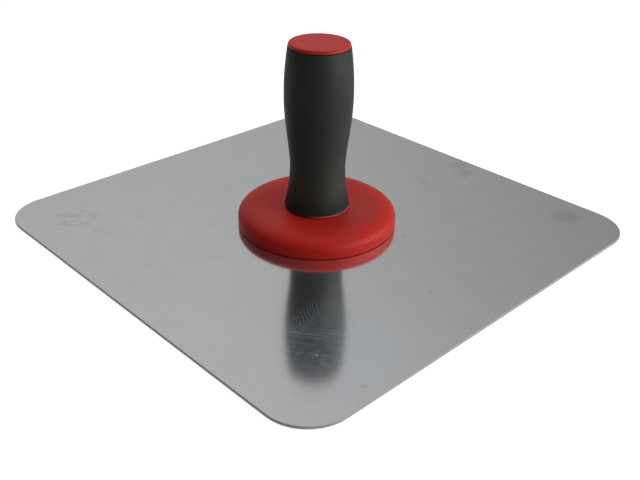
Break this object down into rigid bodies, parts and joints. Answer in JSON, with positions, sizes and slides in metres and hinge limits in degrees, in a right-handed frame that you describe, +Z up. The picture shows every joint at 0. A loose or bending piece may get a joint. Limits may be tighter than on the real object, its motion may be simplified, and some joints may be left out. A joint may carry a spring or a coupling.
{
  "type": "mortar hawk",
  "caption": "Square mortar hawk: thin round-cornered aluminium blade, round cushion pad at its centre and a waisted soft-grip handle with end cap that screws onto a stud.",
  "frame": {"origin": "centre of the blade's flat mortar face", "axes": "+Z up through the handle to its end cap, +X and +Y along the blade's sides"},
  "size_m": [0.33, 0.33, 0.135],
  "materials": {
    "blade": "mill-finish sheet with fine scratches",
    "flange": "cast",
    "rivets": "satin",
    "hardware": "zinc plated",
    "pad": "smooth satin",
    "core": "moulded",
    "sleeve": "soft-touch matte",
    "cap": "satin moulded"
  },
  "bodies": {
    "blade": {"blade": "blade", "mounting_flange": "flange", "stud_bolt": "hardware", "rivet_1": "rivets", "rivet_2": "rivets", "rivet_3": "rivets", "rivet_4": "rivets", "comfort_pad": "pad"},
    "washer": {"thrust_washer": "hardware"},
    "handle": {"handle_nut": "hardware", "handle_core": "core", "grip_sleeve": "sleeve", "end_cap": "cap"}
  },
  "joints": [
    {"name": "handle_rise", "type": "slide", "parent": "blade", "child": "washer", "axis": [0, 0, 1], "range_m": [0, 0.01401]},
    {"name": "handle_unscrew", "type": "hinge", "parent": "washer", "child": "handle", "pos_m": [0, 0, 0], "axis": [0, 0, 1], "range_deg": [0, 2520]}
  ],
  "couplings": [
    {"joint": "handle_rise", "follows": "handle_unscrew", "m_per_rad": 0.00031831}
  ]
}
